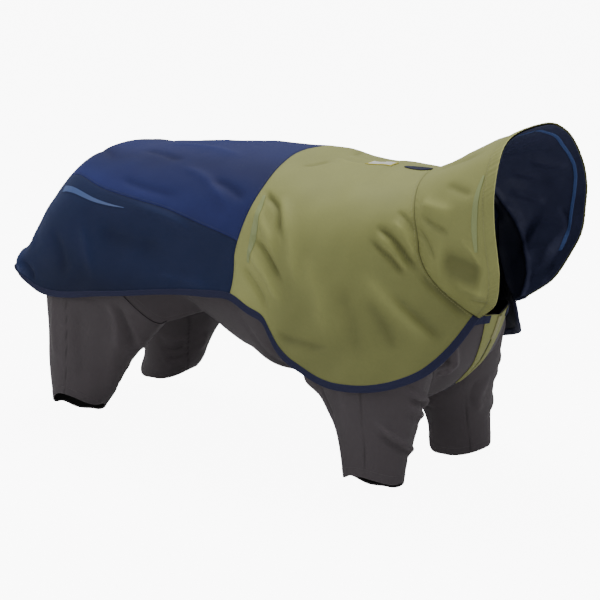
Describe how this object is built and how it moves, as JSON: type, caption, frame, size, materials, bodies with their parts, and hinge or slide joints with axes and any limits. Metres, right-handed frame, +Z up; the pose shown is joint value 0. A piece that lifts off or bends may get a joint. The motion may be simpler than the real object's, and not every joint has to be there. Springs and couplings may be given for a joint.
{
  "type": "dog rain suit",
  "caption": "Hooded rain suit for a dog: a two-colour shell coat with bound hem and raised hood over a grey stretch body suit with open leg tubes and a front zip.",
  "frame": {"origin": "on the wearer's back at the withers, on the inner face of the coat, on the centre plane", "axes": "+X towards the wearer's head, +Y to the wearer's left, +Z up"},
  "size_m": [0.6889, 0.2792, 0.415],
  "materials": {
    "shell_navy": "matt woven shell, satin sheen",
    "side_navy": "matt woven shell",
    "shell_olive": "matt woven shell, satin sheen",
    "binding_navy": "woven binding tape",
    "lining_navy": "smooth coated inside",
    "tape_blue": "smooth seam tape",
    "stretch_grey": "knitted stretch cloth, soft matt",
    "zip_navy": "satin",
    "reflective_blue": "smooth reflective film",
    "reflective_green": "smooth reflective film",
    "label_pale": "smooth printed film"
  },
  "bodies": {
    "root": {"belly": "stretch_grey", "chest_left": "stretch_grey", "chest_right": "stretch_grey", "coat_back": "shell_navy", "coat_binding": "binding_navy", "coat_shoulder": "shell_olive", "coat_side_left": "side_navy", "coat_side_right": "side_navy", "hood_lining": "lining_navy", "hood_outer": "shell_olive", "hood_tape": "tape_blue", "leash_welt": "binding_navy", "leg_front_left": "stretch_grey", "leg_front_right": "stretch_grey", "leg_rear_left": "stretch_grey", "leg_rear_right": "stretch_grey", "neck_tab_left": "binding_navy", "neck_tab_right": "binding_navy", "placket_left": "shell_olive", "placket_right": "shell_olive", "sliver_hood_left": "reflective_green", "sliver_hood_right": "reflective_green", "sliver_rear_left": "reflective_blue", "sliver_rear_right": "reflective_blue", "sliver_shoulder_left": "reflective_green", "sliver_shoulder_right": "reflective_green", "spine_label": "label_pale", "zip_strip": "zip_navy"}
  },
  "joints": []
}
